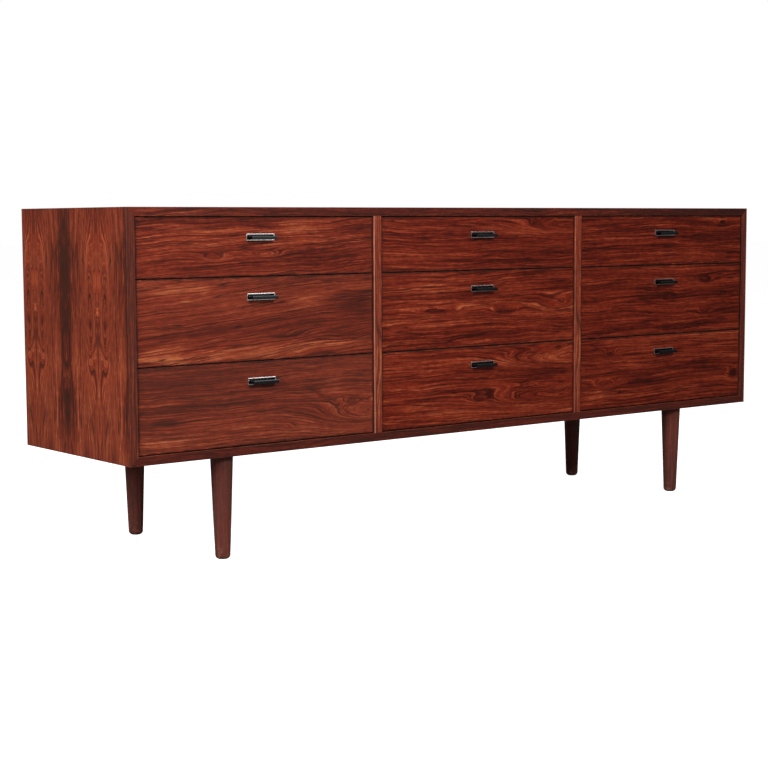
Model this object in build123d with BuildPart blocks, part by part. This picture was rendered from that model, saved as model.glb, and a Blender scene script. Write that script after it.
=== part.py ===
from build123d import *
import os

# A long low dresser: a mitred veneered case on four round tapered legs, split by two upright
# dividers into three columns of three side-hung drawers with framed black pulls.
#
# Frame: millimetres, +X to the right as seen from the front, the front faces -Y, +Z up.
# The origin is on the floor, at the middle of the object's length and of its whole depth,
# from the pulls' tips to the case's back edge.

os.makedirs("parts", exist_ok=True)

# ------------------------------------------------------------------ driving sizes: the case
CASE_W = 2000.0  # length over the side panels
CASE_D = 480.0  # front edge to back edge of the case
CASE_H = 550.0  # height of the case without the legs
PANEL_T = 20.0  # top, bottom and side panels
DIVIDER_T = 22.0
COLUMNS = ("left", "centre", "right")
EDGE_BREAK = 0.6  # small chamfer on the case's front edges

BACK_T = 6.0  # plywood back
REBATE_D = 8.0  # depth of the rebate that holds the back
REBATE_STEP = 10.0  # how far the rebate reaches into each panel's thickness
BACK_PLAY = 0.5  # play round the back in its rebate
HOUSING_D = 6.0  # depth of the dividers' housings in the top and bottom panels
HOUSING_STOP = 15.0  # the housings stop this far behind the front edge

# ------------------------------------------------------------------ driving sizes: the legs
LEG_H = 236.0
LEG_TOP_R = 26.0
LEG_FOOT_R = 17.0
FOOT_ROUND = 10.0  # rounding of the foot's edge
LEG_TOP_BREAK = 0.8
LEG_FROM_SIDE = 258.0  # leg axis to the case's end
LEG_FROM_FRONT = 46.0
LEG_FROM_BACK = 48.0

STUD_R = 4.0  # M8 stud that joins a leg to its plate
STUD_BELOW = 30.0  # length of the stud inside the leg
STUD_ABOVE = 19.0  # length of the stud above the case's underside
STUD_PLAY = 0.05  # radial play of the stud in its holes
STUD_HOLE_PAST = 2.0  # depth of a leg's hole past the stud's end
STUD_BREAK = 0.8
PLATE_SIZE = 56.0
PLATE_T = 2.5
PLATE_CORNER = 3.0
PLATE_BOSS_R = 7.0
PLATE_BOSS_H = 10.0
PLATE_SCREW_PITCH = 40.0

# --------------------------------------------------------------- driving sizes: the drawers
ROWS = {"bottom": 186.0, "middle": 186.0, "top": 130.0}  # heights of the drawer fronts
SIDE_HEIGHTS = {"bottom": 150.0, "middle": 150.0, "top": 100.0}
TAILS = {"bottom": 4, "middle": 4, "top": 3}  # dovetails at each front corner
GAP = 2.0  # gap round each drawer front
FRONT_T = 18.0
FRONT_SETBACK = 3.5  # drawer faces lie this far behind the case's front edge
FRONT_BREAK = 0.7

SIDE_T = 14.0
SIDE_PLAY = 2.5  # from a drawer's side to the case wall
SIDE_LIFT = 10.0  # underside of a drawer's side above the underside of its front
BOX_L = 420.0  # length of a drawer's sides behind the front
SIDE_ROUND = 2.0  # rounding of the sides' upper edges
TAIL_L = 12.0  # how far the dovetails reach into the front
TAIL_SLOPE = 1 / 6
PIN_W = 12.0  # width of the pins between the dovetails, at their root

REAR_T = 12.0  # back board of a drawer
REAR_INSET = 10.0  # back board from the rear end of the sides
REAR_DROP = 5.0  # back board's upper edge below the sides' upper edge
REAR_HOUSING = 5.0
GLUE_PLAY = 0.1  # play between the back board and its housings

FLOOR_T = 5.0  # plywood bottom of a drawer
FLOOR_LIFT = 8.0  # underside of the bottom above the underside of the sides
FLOOR_GROOVE = 5.5
FLOOR_PLAY = 0.5  # play at the bottom's edges in its grooves

# --------------------------------------------------------------- driving sizes: the runners
RUNNER_H = 16.0
RUNNER_T = 9.0
RUNNER_PLAY = 0.2  # above and below the runner in the groove of the drawer's side
GROOVE_D = 7.0
GROOVE_RISE = 0.55  # groove's mid-line, as a share of the side's height
RUNNER_STOP = 0.5  # runner's front end behind the drawer front
RUNNER_END = 10.0  # runner's rear end ahead of the closed drawer's rear end

# ----------------------------------------------------------------- driving sizes: the pulls
PULL_W = 75.0
PULL_H = 15.0
PULL_WALL = 2.0
PULL_DROP = 44.0  # pull's middle below the upper edge of the drawer front
PULL_CORNER = 1.0
MORTISE_D = 8.0
RIM_PROUD = 3.2  # rim ahead of the drawer's face
RIM_BREAK = 0.4
PULL_BACK_T = 2.0
GRIP_W = 68.0
GRIP_REACH = 21.0  # grip's front ahead of the drawer's face
GRIP_TOP = 2.2  # heights on the grip, from the middle of the pull
GRIP_UNDER = -0.3
GRIP_LOW = -5.6
LIP_T = 3.0
LIP_INNER_R = 2.0
LIP_TOP_BREAK = 1.2
LIP_LOW_BREAK = 0.7
GRIP_END_BREAK = 0.5
PULL_SCREW_PITCH = 48.0
PULL_SCREW_R = 2.0
PULL_SCREW_PLAY = 0.2  # radial play of the pull's screws in the drawer front

# ---------------------------------------------------------------- driving sizes: the screws
SCREW_L = 15.0
SCREW_R = 1.6
SCREW_HEAD_R = 3.45
SCREW_TIP = 2.5
SINK_R = 3.5  # countersink at the surface
PILOT_R = 1.65
PILOT_PAST = 0.5  # depth of a pilot hole past the screw's tip
CROSS_W = 0.8  # cross recess in a screw's head
CROSS_L = 3.6
CROSS_D = 1.2
BACK_SCREWS_ALONG = 8  # screws in the back's upper edge, and again in its lower edge
BACK_SCREW_INSET = 40.0  # outermost of them from the side panels
BACK_SCREW_HEIGHTS = (0.32, 0.68)  # upright rows, as shares of the inner height
RUNNER_SCREW_INSET = 60.0  # screws from the runner's ends

# ------------------------------------------------------------------------- worked-out sizes
PULL_PAST_CASE = GRIP_REACH - FRONT_SETBACK
Y_FRONT = PULL_PAST_CASE - (CASE_D + PULL_PAST_CASE) / 2
Y_BACK = Y_FRONT + CASE_D
Y_REBATE = Y_BACK - REBATE_D
Z_LOW = LEG_H
Z_HIGH = LEG_H + CASE_H
Z_FLOOR = Z_LOW + PANEL_T
Z_CEILING = Z_HIGH - PANEL_T
Z_MID = (Z_LOW + Z_HIGH) / 2
X_END = CASE_W / 2
X_INNER = X_END - PANEL_T

OPENING_W = (2 * X_INNER - 2 * DIVIDER_T) / 3
COLUMN_PITCH = OPENING_W + DIVIDER_T
COLUMN_X = {name: (i - 1) * COLUMN_PITCH for i, name in enumerate(COLUMNS)}
DIVIDER_X = {"left": -COLUMN_PITCH / 2, "right": COLUMN_PITCH / 2}

FRONT_W = OPENING_W - 2 * GAP
BOX_W = OPENING_W - 2 * SIDE_PLAY
Y_FACE = Y_FRONT + FRONT_SETBACK
Y_INSIDE = Y_FACE + FRONT_T
Y_BOX_END = Y_INSIDE + BOX_L
Y_REAR_BACK = Y_BOX_END - REAR_INSET
Y_REAR_FRONT = Y_REAR_BACK - REAR_T

FRONT_Z = {}
next_z = Z_FLOOR + GAP
for row, front_height in ROWS.items():
    FRONT_Z[row] = next_z
    next_z += front_height + GAP
RUNNER_Z = {row: FRONT_Z[row] + SIDE_LIFT + GROOVE_RISE * SIDE_HEIGHTS[row] for row in ROWS}

LEG_X = X_END - LEG_FROM_SIDE
LEG_PLACES = {
    "leg_front_left": (-LEG_X, Y_FRONT + LEG_FROM_FRONT),
    "leg_front_right": (LEG_X, Y_FRONT + LEG_FROM_FRONT),
    "leg_rear_left": (-LEG_X, Y_BACK - LEG_FROM_BACK),
    "leg_rear_right": (LEG_X, Y_BACK - LEG_FROM_BACK),
}

# Runners, as (x of the wall they are fixed to, +1 or -1 for the way they stand out, z).
RUNNERS = []
for column_x in COLUMN_X.values():
    for runner_z in RUNNER_Z.values():
        RUNNERS.append((column_x - OPENING_W / 2, 1, runner_z))
        RUNNERS.append((column_x + OPENING_W / 2, -1, runner_z))
Y_RUNNER = (Y_INSIDE + RUNNER_STOP, Y_BOX_END - RUNNER_END)
RUNNER_SCREW_Y = (Y_RUNNER[0] + RUNNER_SCREW_INSET, Y_RUNNER[1] - RUNNER_SCREW_INSET)

# Screw places are planes: origin at the middle of the head's flat, z_dir out of the head.
BACK_SCREW_Y = Y_REBATE + BACK_T
BACK_SCREW_EDGE = REBATE_STEP / 2
BACK_SCREW_SPAN = 2 * (X_INNER - BACK_SCREW_INSET)
BACK_SCREW_XS = [
    (i / (BACK_SCREWS_ALONG - 1) - 0.5) * BACK_SCREW_SPAN for i in range(BACK_SCREWS_ALONG)
]
BACK_SCREW_ZS = [Z_FLOOR + share * (Z_CEILING - Z_FLOOR) for share in BACK_SCREW_HEIGHTS]


def back_screws(xs, zs):
    """Screw places on the back, at every pairing of xs and zs."""
    return [Plane((x, BACK_SCREW_Y, z), z_dir=(0, 1, 0)) for x in xs for z in zs]


def runner_screws(wall_xs):
    """Screw places in the runners that are fixed to the walls at wall_xs."""
    places = []
    for wall_x, way, z in RUNNERS:
        if any(abs(wall_x - x) < 1 for x in wall_xs):
            for y in RUNNER_SCREW_Y:
                places.append(Plane((wall_x + way * RUNNER_T, y, z), z_dir=(way, 0, 0)))
    return places


def plate_screws():
    """Screw places in the four leg plates."""
    half = PLATE_SCREW_PITCH / 2
    places = []
    for x, y in LEG_PLACES.values():
        for dx in (-half, half):
            for dy in (-half, half):
                places.append(Plane((x + dx, y + dy, Z_FLOOR), z_dir=(0, 0, 1)))
    return places


def drill(places):
    """Pilot holes at the given screw places, in the piece being built."""
    with Locations(*places):
        Hole(radius=PILOT_R, depth=SCREW_L + PILOT_PAST)


def countersink(places):
    """Countersunk clearance holes at the given screw places, in the piece being built."""
    with Locations(*places):
        CounterSinkHole(
            radius=PILOT_R, counter_sink_radius=SINK_R, depth=SCREW_L, counter_sink_angle=90
        )


def nearest_corner(sketch, u, v):
    """The sketch's corner nearest to a point given in the sketch's own plane."""
    return sketch.sketch_local.vertices().sort_by_distance((u, v, 0))[0]


def write(piece, label):
    """Label a finished piece and write its STEP file."""
    piece.part.label = label
    export_step(piece.part, f"parts/{label}.step")


# ------------------------------------------------------------------------ panels of the case
def case_panel(corners, long_axis, screw_places):
    """A case panel: its mitred section run from back to front, rebated for the back."""
    with BuildPart() as panel:
        with BuildSketch(Plane.XZ.offset(-Y_BACK)):
            with BuildLine():
                Polyline(*corners, close=True)
            make_face()
        extrude(amount=CASE_D)
        chamfer(panel.edges().filter_by(long_axis).group_by(Axis.Y)[0], EDGE_BREAK)
        with BuildSketch(Plane.XZ.offset(-Y_BACK)):
            with Locations((0, Z_MID)):
                Rectangle(2 * (X_INNER + REBATE_STEP), CASE_H - 2 * (PANEL_T - REBATE_STEP))
        extrude(amount=REBATE_D, mode=Mode.SUBTRACT)
        drill(screw_places)
    return panel


top_corners = [(-X_END, Z_HIGH), (X_END, Z_HIGH), (X_INNER, Z_CEILING), (-X_INNER, Z_CEILING)]
top_screws = back_screws(BACK_SCREW_XS, [Z_CEILING + BACK_SCREW_EDGE])
blank_top = case_panel(top_corners, Axis.X, top_screws)

bottom_corners = [(-X_END, Z_LOW), (X_END, Z_LOW), (X_INNER, Z_FLOOR), (-X_INNER, Z_FLOOR)]
bottom_screws = back_screws(BACK_SCREW_XS, [Z_FLOOR - BACK_SCREW_EDGE])
blank_bottom = case_panel(bottom_corners, Axis.X, bottom_screws + plate_screws())

Y_HOUSING = Y_FRONT + HOUSING_STOP


def house_dividers(z, depth):
    """Cut the stopped housings of both dividers, from height z, in the piece being built."""
    with BuildSketch(Plane.XY.offset(z)) as housings:
        for x in DIVIDER_X.values():
            with Locations((x, (Y_HOUSING + Y_REBATE) / 2)):
                Rectangle(DIVIDER_T, Y_REBATE - Y_HOUSING)
    extrude(housings.sketch, amount=depth, mode=Mode.SUBTRACT)


with BuildPart() as top_panel:
    add(blank_top.part)
    house_dividers(Z_CEILING, HOUSING_D)
write(top_panel, "top_panel")

with BuildPart() as bottom_panel:
    add(blank_bottom.part)
    house_dividers(Z_FLOOR, -HOUSING_D)
    # Recesses for the leg plates, with a hole through the panel for each plate's boss.
    with BuildSketch(Plane.XY.offset(Z_FLOOR)):
        with Locations(*LEG_PLACES.values()):
            RectangleRounded(PLATE_SIZE, PLATE_SIZE, PLATE_CORNER)
    extrude(amount=-PLATE_T, mode=Mode.SUBTRACT)
    with Locations(*[(x, y, Z_FLOOR) for x, y in LEG_PLACES.values()]):
        Hole(radius=PLATE_BOSS_R + STUD_PLAY, depth=PANEL_T)
write(bottom_panel, "bottom_panel")

for end_name, end in (("left", -1), ("right", 1)):
    side_corners = [
        (end * X_END, Z_LOW),
        (end * X_END, Z_HIGH),
        (end * X_INNER, Z_CEILING),
        (end * X_INNER, Z_FLOOR),
    ]
    side_screws = back_screws([end * (X_INNER + BACK_SCREW_EDGE)], BACK_SCREW_ZS)
    side_screws += runner_screws([end * X_INNER])
    side_panel = case_panel(side_corners, Axis.Z, side_screws)
    write(side_panel, f"{end_name}_side_panel")

for divider_name, divider_x in DIVIDER_X.items():
    with BuildPart() as divider:
        with BuildSketch(Plane.YZ.offset(divider_x - DIVIDER_T / 2)):
            with Locations(((Y_FRONT + Y_REBATE) / 2, Z_MID)):
                Rectangle(Y_REBATE - Y_FRONT, Z_CEILING - Z_FLOOR)
            with Locations(((Y_HOUSING + Y_REBATE) / 2, Z_MID)):
                Rectangle(Y_REBATE - Y_HOUSING, Z_CEILING - Z_FLOOR + 2 * HOUSING_D)
        extrude(amount=DIVIDER_T)
        chamfer(divider.edges().filter_by(Axis.Z).group_by(Axis.Y)[0], EDGE_BREAK)
        drill(back_screws([divider_x], BACK_SCREW_ZS))
        drill(runner_screws([divider_x - DIVIDER_T / 2, divider_x + DIVIDER_T / 2]))
    write(divider, f"{divider_name}_divider")

with BuildPart() as back_panel:
    with BuildSketch(Plane.XZ.offset(-(Y_REBATE + BACK_T))):
        with Locations((0, Z_MID)):
            Rectangle(
                2 * (X_INNER + REBATE_STEP - BACK_PLAY),
                CASE_H - 2 * (PANEL_T - REBATE_STEP + BACK_PLAY),
            )
    extrude(amount=BACK_T)
    countersink(top_screws + bottom_screws)
    for end in (-1, 1):
        countersink(back_screws([end * (X_INNER + BACK_SCREW_EDGE)], BACK_SCREW_ZS))
    countersink(back_screws(DIVIDER_X.values(), BACK_SCREW_ZS))
write(back_panel, "back_panel")

wall_xs = sorted({wall_x for wall_x, way, z in RUNNERS})

with BuildPart() as drawer_runners:
    with BuildSketch(Plane.XZ.offset(-Y_RUNNER[1])):
        for wall_x, way, z in RUNNERS:
            with Locations((wall_x + way * RUNNER_T / 2, z)):
                Rectangle(RUNNER_T, RUNNER_H)
    extrude(amount=Y_RUNNER[1] - Y_RUNNER[0])
    countersink(runner_screws(wall_xs))
write(drawer_runners, "drawer_runners")

# --------------------------------------------------------------------------- legs and fixings
for leg_name, (leg_x, leg_y) in LEG_PLACES.items():
    with BuildPart() as leg:
        leg_plane = Plane((leg_x, leg_y, 0), x_dir=(1, 0, 0), z_dir=(0, -1, 0))
        with BuildSketch(leg_plane) as leg_section:
            with BuildLine():
                Polyline((0, 0), (LEG_FOOT_R, 0), (LEG_TOP_R, LEG_H), (0, LEG_H), close=True)
            make_face()
            fillet(nearest_corner(leg_section, LEG_FOOT_R, 0), FOOT_ROUND)
            chamfer(nearest_corner(leg_section, LEG_TOP_R, LEG_H), LEG_TOP_BREAK)
        revolve(axis=Axis((leg_x, leg_y, 0), (0, 0, 1)))
        with Locations((leg_x, leg_y, LEG_H)):
            Hole(radius=STUD_R + STUD_PLAY, depth=STUD_BELOW + STUD_HOLE_PAST)
    write(leg, leg_name)

with BuildPart() as leg_plates:
    with BuildSketch(Plane.XY.offset(Z_FLOOR)):
        with Locations(*LEG_PLACES.values()):
            RectangleRounded(PLATE_SIZE, PLATE_SIZE, PLATE_CORNER)
    extrude(amount=-PLATE_T)
    with BuildSketch(Plane.XY.offset(Z_FLOOR)):
        with Locations(*LEG_PLACES.values()):
            Circle(PLATE_BOSS_R)
    extrude(amount=-PLATE_T - PLATE_BOSS_H)
    with Locations(*[(x, y, Z_FLOOR) for x, y in LEG_PLACES.values()]):
        Hole(radius=STUD_R + STUD_PLAY, depth=PANEL_T)
    countersink(plate_screws())
write(leg_plates, "leg_plates")

with BuildPart() as leg_studs:
    with BuildSketch(Plane.XY.offset(Z_LOW - STUD_BELOW)):
        with Locations(*LEG_PLACES.values()):
            Circle(STUD_R)
    extrude(amount=STUD_BELOW + STUD_ABOVE)
    chamfer(leg_studs.edges().filter_by(GeomType.CIRCLE), STUD_BREAK)
write(leg_studs, "leg_studs")

with BuildPart() as screw:
    with BuildSketch(Plane.XZ):
        with BuildLine():
            neck = SCREW_HEAD_R - SCREW_R
            Polyline(
                (0, 0),
                (SCREW_HEAD_R, 0),
                (SCREW_R, -neck),
                (SCREW_R, SCREW_TIP - SCREW_L),
                (0, -SCREW_L),
                close=True,
            )
        make_face()
    revolve(axis=Axis.Z)
    with BuildSketch(Plane.XY):
        Rectangle(CROSS_L, CROSS_W)
        Rectangle(CROSS_W, CROSS_L)
    extrude(amount=-CROSS_D, mode=Mode.SUBTRACT)

with BuildPart() as wood_screws:
    all_screws = top_screws + bottom_screws + plate_screws() + runner_screws(wall_xs)
    for end in (-1, 1):
        all_screws += back_screws([end * (X_INNER + BACK_SCREW_EDGE)], BACK_SCREW_ZS)
    all_screws += back_screws(DIVIDER_X.values(), BACK_SCREW_ZS)
    with Locations(*all_screws):
        add(screw.part)
write(wood_screws, "wood_screws")


# ------------------------------------------------------------------------------- the drawers
def dovetails(plane, side_low, side_height, count):
    """The dovetails of one drawer side, drawn on a plane parallel to YZ."""
    pitch = side_height / count
    root = (pitch - PIN_W) / 2
    tip = root + TAIL_L * TAIL_SLOPE
    with BuildSketch(plane) as tails:
        for i in range(count):
            z = side_low + (i + 0.5) * pitch
            with BuildLine():
                Polyline(
                    (Y_INSIDE, z - root),
                    (Y_INSIDE - TAIL_L, z - tip),
                    (Y_INSIDE - TAIL_L, z + tip),
                    (Y_INSIDE, z + root),
                    close=True,
                )
            make_face()
    return tails.sketch


def drawer_front(mid_x, row):
    """A drawer front: sockets and a groove at the back, a mortise for the pull in its face."""
    low = FRONT_Z[row]
    height = ROWS[row]
    side_low = low + SIDE_LIFT
    pull_z = low + height - PULL_DROP
    with BuildPart() as front:
        with BuildSketch(Plane.XZ.offset(-Y_INSIDE)):
            with Locations((mid_x, low + height / 2)):
                Rectangle(FRONT_W, height)
        extrude(amount=FRONT_T)
        chamfer(front.faces().sort_by(Axis.Y)[0].edges(), FRONT_BREAK)
        for end in (-1, 1):
            inner = mid_x + end * (BOX_W / 2 - SIDE_T)
            tails = dovetails(Plane.YZ.offset(inner), side_low, SIDE_HEIGHTS[row], TAILS[row])
            extrude(tails, amount=end * (SIDE_T + 2 * GAP), mode=Mode.SUBTRACT)
        with BuildSketch(Plane.XZ.offset(-Y_INSIDE)):
            with Locations((mid_x, side_low + FLOOR_LIFT + FLOOR_T / 2)):
                Rectangle(BOX_W - 2 * (SIDE_T - FLOOR_GROOVE), FLOOR_T)
        extrude(amount=FLOOR_GROOVE, mode=Mode.SUBTRACT)
        with BuildSketch(Plane.XZ.offset(-Y_FACE)):
            with Locations((mid_x, pull_z)):
                RectangleRounded(PULL_W, PULL_H, PULL_CORNER)
        extrude(amount=-MORTISE_D, mode=Mode.SUBTRACT)
        with BuildSketch(Plane.XZ.offset(-Y_FACE)):
            with Locations((mid_x, pull_z)):
                with GridLocations(PULL_SCREW_PITCH, 0, 2, 1):
                    Circle(PULL_SCREW_R + PULL_SCREW_PLAY)
        extrude(amount=-FRONT_T, mode=Mode.SUBTRACT)
    return front


def drawer_box(mid_x, row):
    """A drawer's two dovetailed sides and its back board, as three separate solids."""
    low = FRONT_Z[row] + SIDE_LIFT
    height = SIDE_HEIGHTS[row]
    floor_z = low + FLOOR_LIFT
    rear_low = floor_z + FLOOR_T
    rear_high = low + height - REAR_DROP
    with BuildPart() as box:
        for end in (-1, 1):
            inner = mid_x + end * (BOX_W / 2 - SIDE_T)
            with BuildSketch(Plane.YZ.offset(inner)):
                with Locations(((Y_INSIDE + Y_BOX_END) / 2, low + height / 2)):
                    Rectangle(BOX_L, height)
            extrude(amount=end * SIDE_T)
        fillet(box.edges().filter_by(Axis.Y).group_by(Axis.Z)[-1], SIDE_ROUND)
        for end in (-1, 1):
            inner = mid_x + end * (BOX_W / 2 - SIDE_T)
            outer = mid_x + end * BOX_W / 2
            tails = dovetails(Plane.YZ.offset(inner), low, height, TAILS[row])
            extrude(tails, amount=end * SIDE_T)
            # Groove that runs on the case's runner.
            with BuildSketch(Plane.YZ.offset(outer)):
                with Locations(((Y_INSIDE + Y_BOX_END) / 2, RUNNER_Z[row])):
                    Rectangle(BOX_L, RUNNER_H + 2 * RUNNER_PLAY)
            extrude(amount=-end * GROOVE_D, mode=Mode.SUBTRACT)
            # Groove for the drawer's bottom and housing for its back board.
            with BuildSketch(Plane.YZ.offset(inner)):
                with Locations(((Y_INSIDE - FLOOR_GROOVE + Y_BOX_END) / 2, floor_z + FLOOR_T / 2)):
                    Rectangle(BOX_L + FLOOR_GROOVE, FLOOR_T)
            extrude(amount=end * FLOOR_GROOVE, mode=Mode.SUBTRACT)
            with BuildSketch(Plane.YZ.offset(inner)):
                with Locations(((Y_REAR_FRONT + Y_REAR_BACK) / 2, (rear_low + low + height) / 2)):
                    Rectangle(REAR_T + 2 * GLUE_PLAY, low + height - rear_low)
            extrude(amount=end * REAR_HOUSING, mode=Mode.SUBTRACT)
        with BuildSketch(Plane.XZ.offset(-Y_REAR_BACK)):
            with Locations((mid_x, (rear_low + rear_high) / 2)):
                rear_w = BOX_W - 2 * (SIDE_T - REAR_HOUSING + GLUE_PLAY)
                Rectangle(rear_w, rear_high - rear_low)
        extrude(amount=REAR_T)
    return box


def drawer_floor(mid_x, row):
    """A drawer's bottom, held in grooves in the sides and the front, under the back board."""
    floor_z = FRONT_Z[row] + SIDE_LIFT + FLOOR_LIFT
    front_y = Y_INSIDE - FLOOR_GROOVE + FLOOR_PLAY
    with BuildPart() as floor:
        with BuildSketch(Plane.XY.offset(floor_z)):
            with Locations((mid_x, (front_y + Y_REAR_BACK) / 2)):
                floor_w = BOX_W - 2 * (SIDE_T - FLOOR_GROOVE + FLOOR_PLAY)
                Rectangle(floor_w, Y_REAR_BACK - front_y)
        extrude(amount=FLOOR_T)
    return floor


def handle_frame(mid_x, pull_z):
    """The pull's metal frame, a rectangular sleeve set in the mortise with its rim proud."""
    with BuildPart() as frame:
        with BuildSketch(Plane.XZ.offset(-(Y_FACE + MORTISE_D))):
            with Locations((mid_x, pull_z)):
                RectangleRounded(PULL_W, PULL_H, PULL_CORNER)
                Rectangle(PULL_W - 2 * PULL_WALL, PULL_H - 2 * PULL_WALL, mode=Mode.SUBTRACT)
        extrude(amount=MORTISE_D + RIM_PROUD)
        chamfer(frame.faces().sort_by(Axis.Y)[0].edges(), RIM_BREAK)
    return frame


def handle_grip(mid_x, pull_z):
    """The pull's black grip: a plate in the frame, a web, and a lip turned down in front."""
    end_x = mid_x - GRIP_W / 2
    plate_y = Y_FACE + MORTISE_D - PULL_BACK_T
    lip_y = Y_FACE - GRIP_REACH
    hook_y = lip_y + LIP_T
    with BuildPart() as grip:
        with BuildSketch(Plane.YZ.offset(end_x)) as section:
            with BuildLine():
                Polyline(
                    (plate_y, pull_z + GRIP_TOP),
                    (lip_y, pull_z + GRIP_TOP),
                    (lip_y, pull_z + GRIP_LOW),
                    (hook_y, pull_z + GRIP_LOW),
                    (hook_y, pull_z + GRIP_UNDER),
                    (plate_y, pull_z + GRIP_UNDER),
                    close=True,
                )
            make_face()
            chamfer(nearest_corner(section, lip_y, pull_z + GRIP_TOP), LIP_TOP_BREAK)
            chamfer(nearest_corner(section, lip_y, pull_z + GRIP_LOW), LIP_LOW_BREAK)
            fillet(nearest_corner(section, hook_y, pull_z + GRIP_LOW), LIP_LOW_BREAK)
            fillet(nearest_corner(section, hook_y, pull_z + GRIP_UNDER), LIP_INNER_R)
        extrude(amount=GRIP_W)
        ends = grip.faces().filter_by(Axis.X).sort_by(Axis.X)
        chamfer(ends[0].edges() + ends[-1].edges(), GRIP_END_BREAK)
        with BuildSketch(Plane.XZ.offset(-(Y_FACE + MORTISE_D))):
            with Locations((mid_x, pull_z)):
                Rectangle(PULL_W - 2 * PULL_WALL, PULL_H - 2 * PULL_WALL)
        extrude(amount=PULL_BACK_T)
        with BuildSketch(Plane.XZ.offset(-(Y_FACE + MORTISE_D))):
            with Locations((mid_x, pull_z)):
                with GridLocations(PULL_SCREW_PITCH, 0, 2, 1):
                    Circle(PULL_SCREW_R)
        extrude(amount=PULL_BACK_T, mode=Mode.SUBTRACT)
    return grip


for row in ROWS:
    for column, mid_x in COLUMN_X.items():
        name = f"{row}_{column}_drawer"
        pull_z = FRONT_Z[row] + ROWS[row] - PULL_DROP
        write(drawer_front(mid_x, row), f"{name}_front")
        write(drawer_box(mid_x, row), f"{name}_box")
        write(drawer_floor(mid_x, row), f"{name}_bottom")
        write(handle_frame(mid_x, pull_z), f"{name}_handle_frame")
        write(handle_grip(mid_x, pull_z), f"{name}_handle_grip")
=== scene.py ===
import math

import bmesh
import bpy
from mathutils import Matrix, Vector


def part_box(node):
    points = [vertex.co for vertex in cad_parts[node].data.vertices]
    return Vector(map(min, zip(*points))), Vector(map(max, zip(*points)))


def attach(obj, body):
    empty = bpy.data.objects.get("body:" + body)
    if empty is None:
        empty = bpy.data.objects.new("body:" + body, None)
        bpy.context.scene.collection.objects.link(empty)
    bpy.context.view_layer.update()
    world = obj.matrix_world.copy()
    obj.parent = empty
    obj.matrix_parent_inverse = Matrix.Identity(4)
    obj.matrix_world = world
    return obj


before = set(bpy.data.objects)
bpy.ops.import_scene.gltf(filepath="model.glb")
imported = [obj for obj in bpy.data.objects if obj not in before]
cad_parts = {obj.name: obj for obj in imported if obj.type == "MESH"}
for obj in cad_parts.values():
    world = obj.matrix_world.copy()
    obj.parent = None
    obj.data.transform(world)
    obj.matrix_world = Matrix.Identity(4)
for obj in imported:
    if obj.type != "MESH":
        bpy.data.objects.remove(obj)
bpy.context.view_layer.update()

# Looks for a long rosewood dresser.  Everything is in metres in the CAD frame: +X along the
# front, to the right, the front faces -Y, +Z up, the floor at 0.  Wood is drawn by node
# groups that cut boards out of an imagined trunk, so the figure runs on round every edge.
# Noise scales are in repeats per metre, and seeds shift the noise so that boards differ.

ROWS = ("bottom", "middle", "top")
COLUMNS = ("left", "centre", "right")
DRAWERS = [f"{row}_{column}_drawer" for row in ROWS for column in COLUMNS]
LEGS = ("leg_front_left", "leg_front_right", "leg_rear_left", "leg_rear_right")

# ------------------------------------------------------------------------ places from the CAD
case_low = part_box("bottom_panel")[0]
case_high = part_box("top_panel")[1]
CASE_FRONT = case_low.y
CASE_MID_Z = (case_low.z + case_high.z) / 2


# ------------------------------------------------------------------------------- node helpers
def connect(tree, socket, value):
    """Link a socket to an input, or set a plain value on it."""
    if isinstance(value, bpy.types.NodeSocket):
        tree.links.new(value, socket)
    else:
        socket.default_value = value


def calc(tree, operation, a, b=0.0, c=0.0):
    node = tree.nodes.new("ShaderNodeMath")
    node.operation = operation
    for socket, value in zip(node.inputs, (a, b, c)):
        connect(tree, socket, value)
    return node.outputs[0]


def total(tree, *terms):
    result = terms[0]
    for term in terms[1:]:
        result = calc(tree, "ADD", result, term)
    return result


def product(tree, *terms):
    result = terms[0]
    for term in terms[1:]:
        result = calc(tree, "MULTIPLY", result, term)
    return result


def vector(tree, x, y, z):
    node = tree.nodes.new("ShaderNodeCombineXYZ")
    for socket, value in zip(node.inputs, (x, y, z)):
        connect(tree, socket, value)
    return node.outputs[0]


def split(tree, value):
    node = tree.nodes.new("ShaderNodeSeparateXYZ")
    connect(tree, node.inputs[0], value)
    return node.outputs


def noise(tree, place, scale=1.0, detail=2.0, roughness=0.5):
    node = tree.nodes.new("ShaderNodeTexNoise")
    node.inputs["Scale"].default_value = scale
    node.inputs["Detail"].default_value = detail
    node.inputs["Roughness"].default_value = roughness
    connect(tree, node.inputs["Vector"], place)
    return node.outputs[0]


def grain_noise(tree, x, y, seed, scale, detail=2.0, roughness=0.5):
    """Noise over two coordinates that each have their own scale."""
    spot = vector(tree, product(tree, x, scale[0]), product(tree, y, scale[1]), seed)
    return noise(tree, spot, 1.0, detail, roughness)


def ramp(tree, value, low, high, out_low=0.0, out_high=1.0):
    """Smooth step from out_low at low to out_high at high."""
    node = tree.nodes.new("ShaderNodeMapRange")
    node.interpolation_type = "SMOOTHSTEP"
    for name, number in zip(
        ("Value", "From Min", "From Max", "To Min", "To Max"),
        (value, low, high, out_low, out_high),
    ):
        connect(tree, node.inputs[name], number)
    return node.outputs[0]


def mix(tree, factor, a, b, blend="MIX"):
    node = tree.nodes.new("ShaderNodeMix")
    node.data_type = "RGBA"
    node.blend_type = blend
    sockets = [s for s in node.inputs if s.type == "RGBA"]
    connect(tree, node.inputs[0], factor)
    connect(tree, sockets[0], a)
    connect(tree, sockets[1], b)
    return [s for s in node.outputs if s.type == "RGBA"][0]


def centred(tree, socket):
    return calc(tree, "SUBTRACT", socket, 0.5)


def colour(r, g, b):
    return (r, g, b, 1.0)


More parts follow.
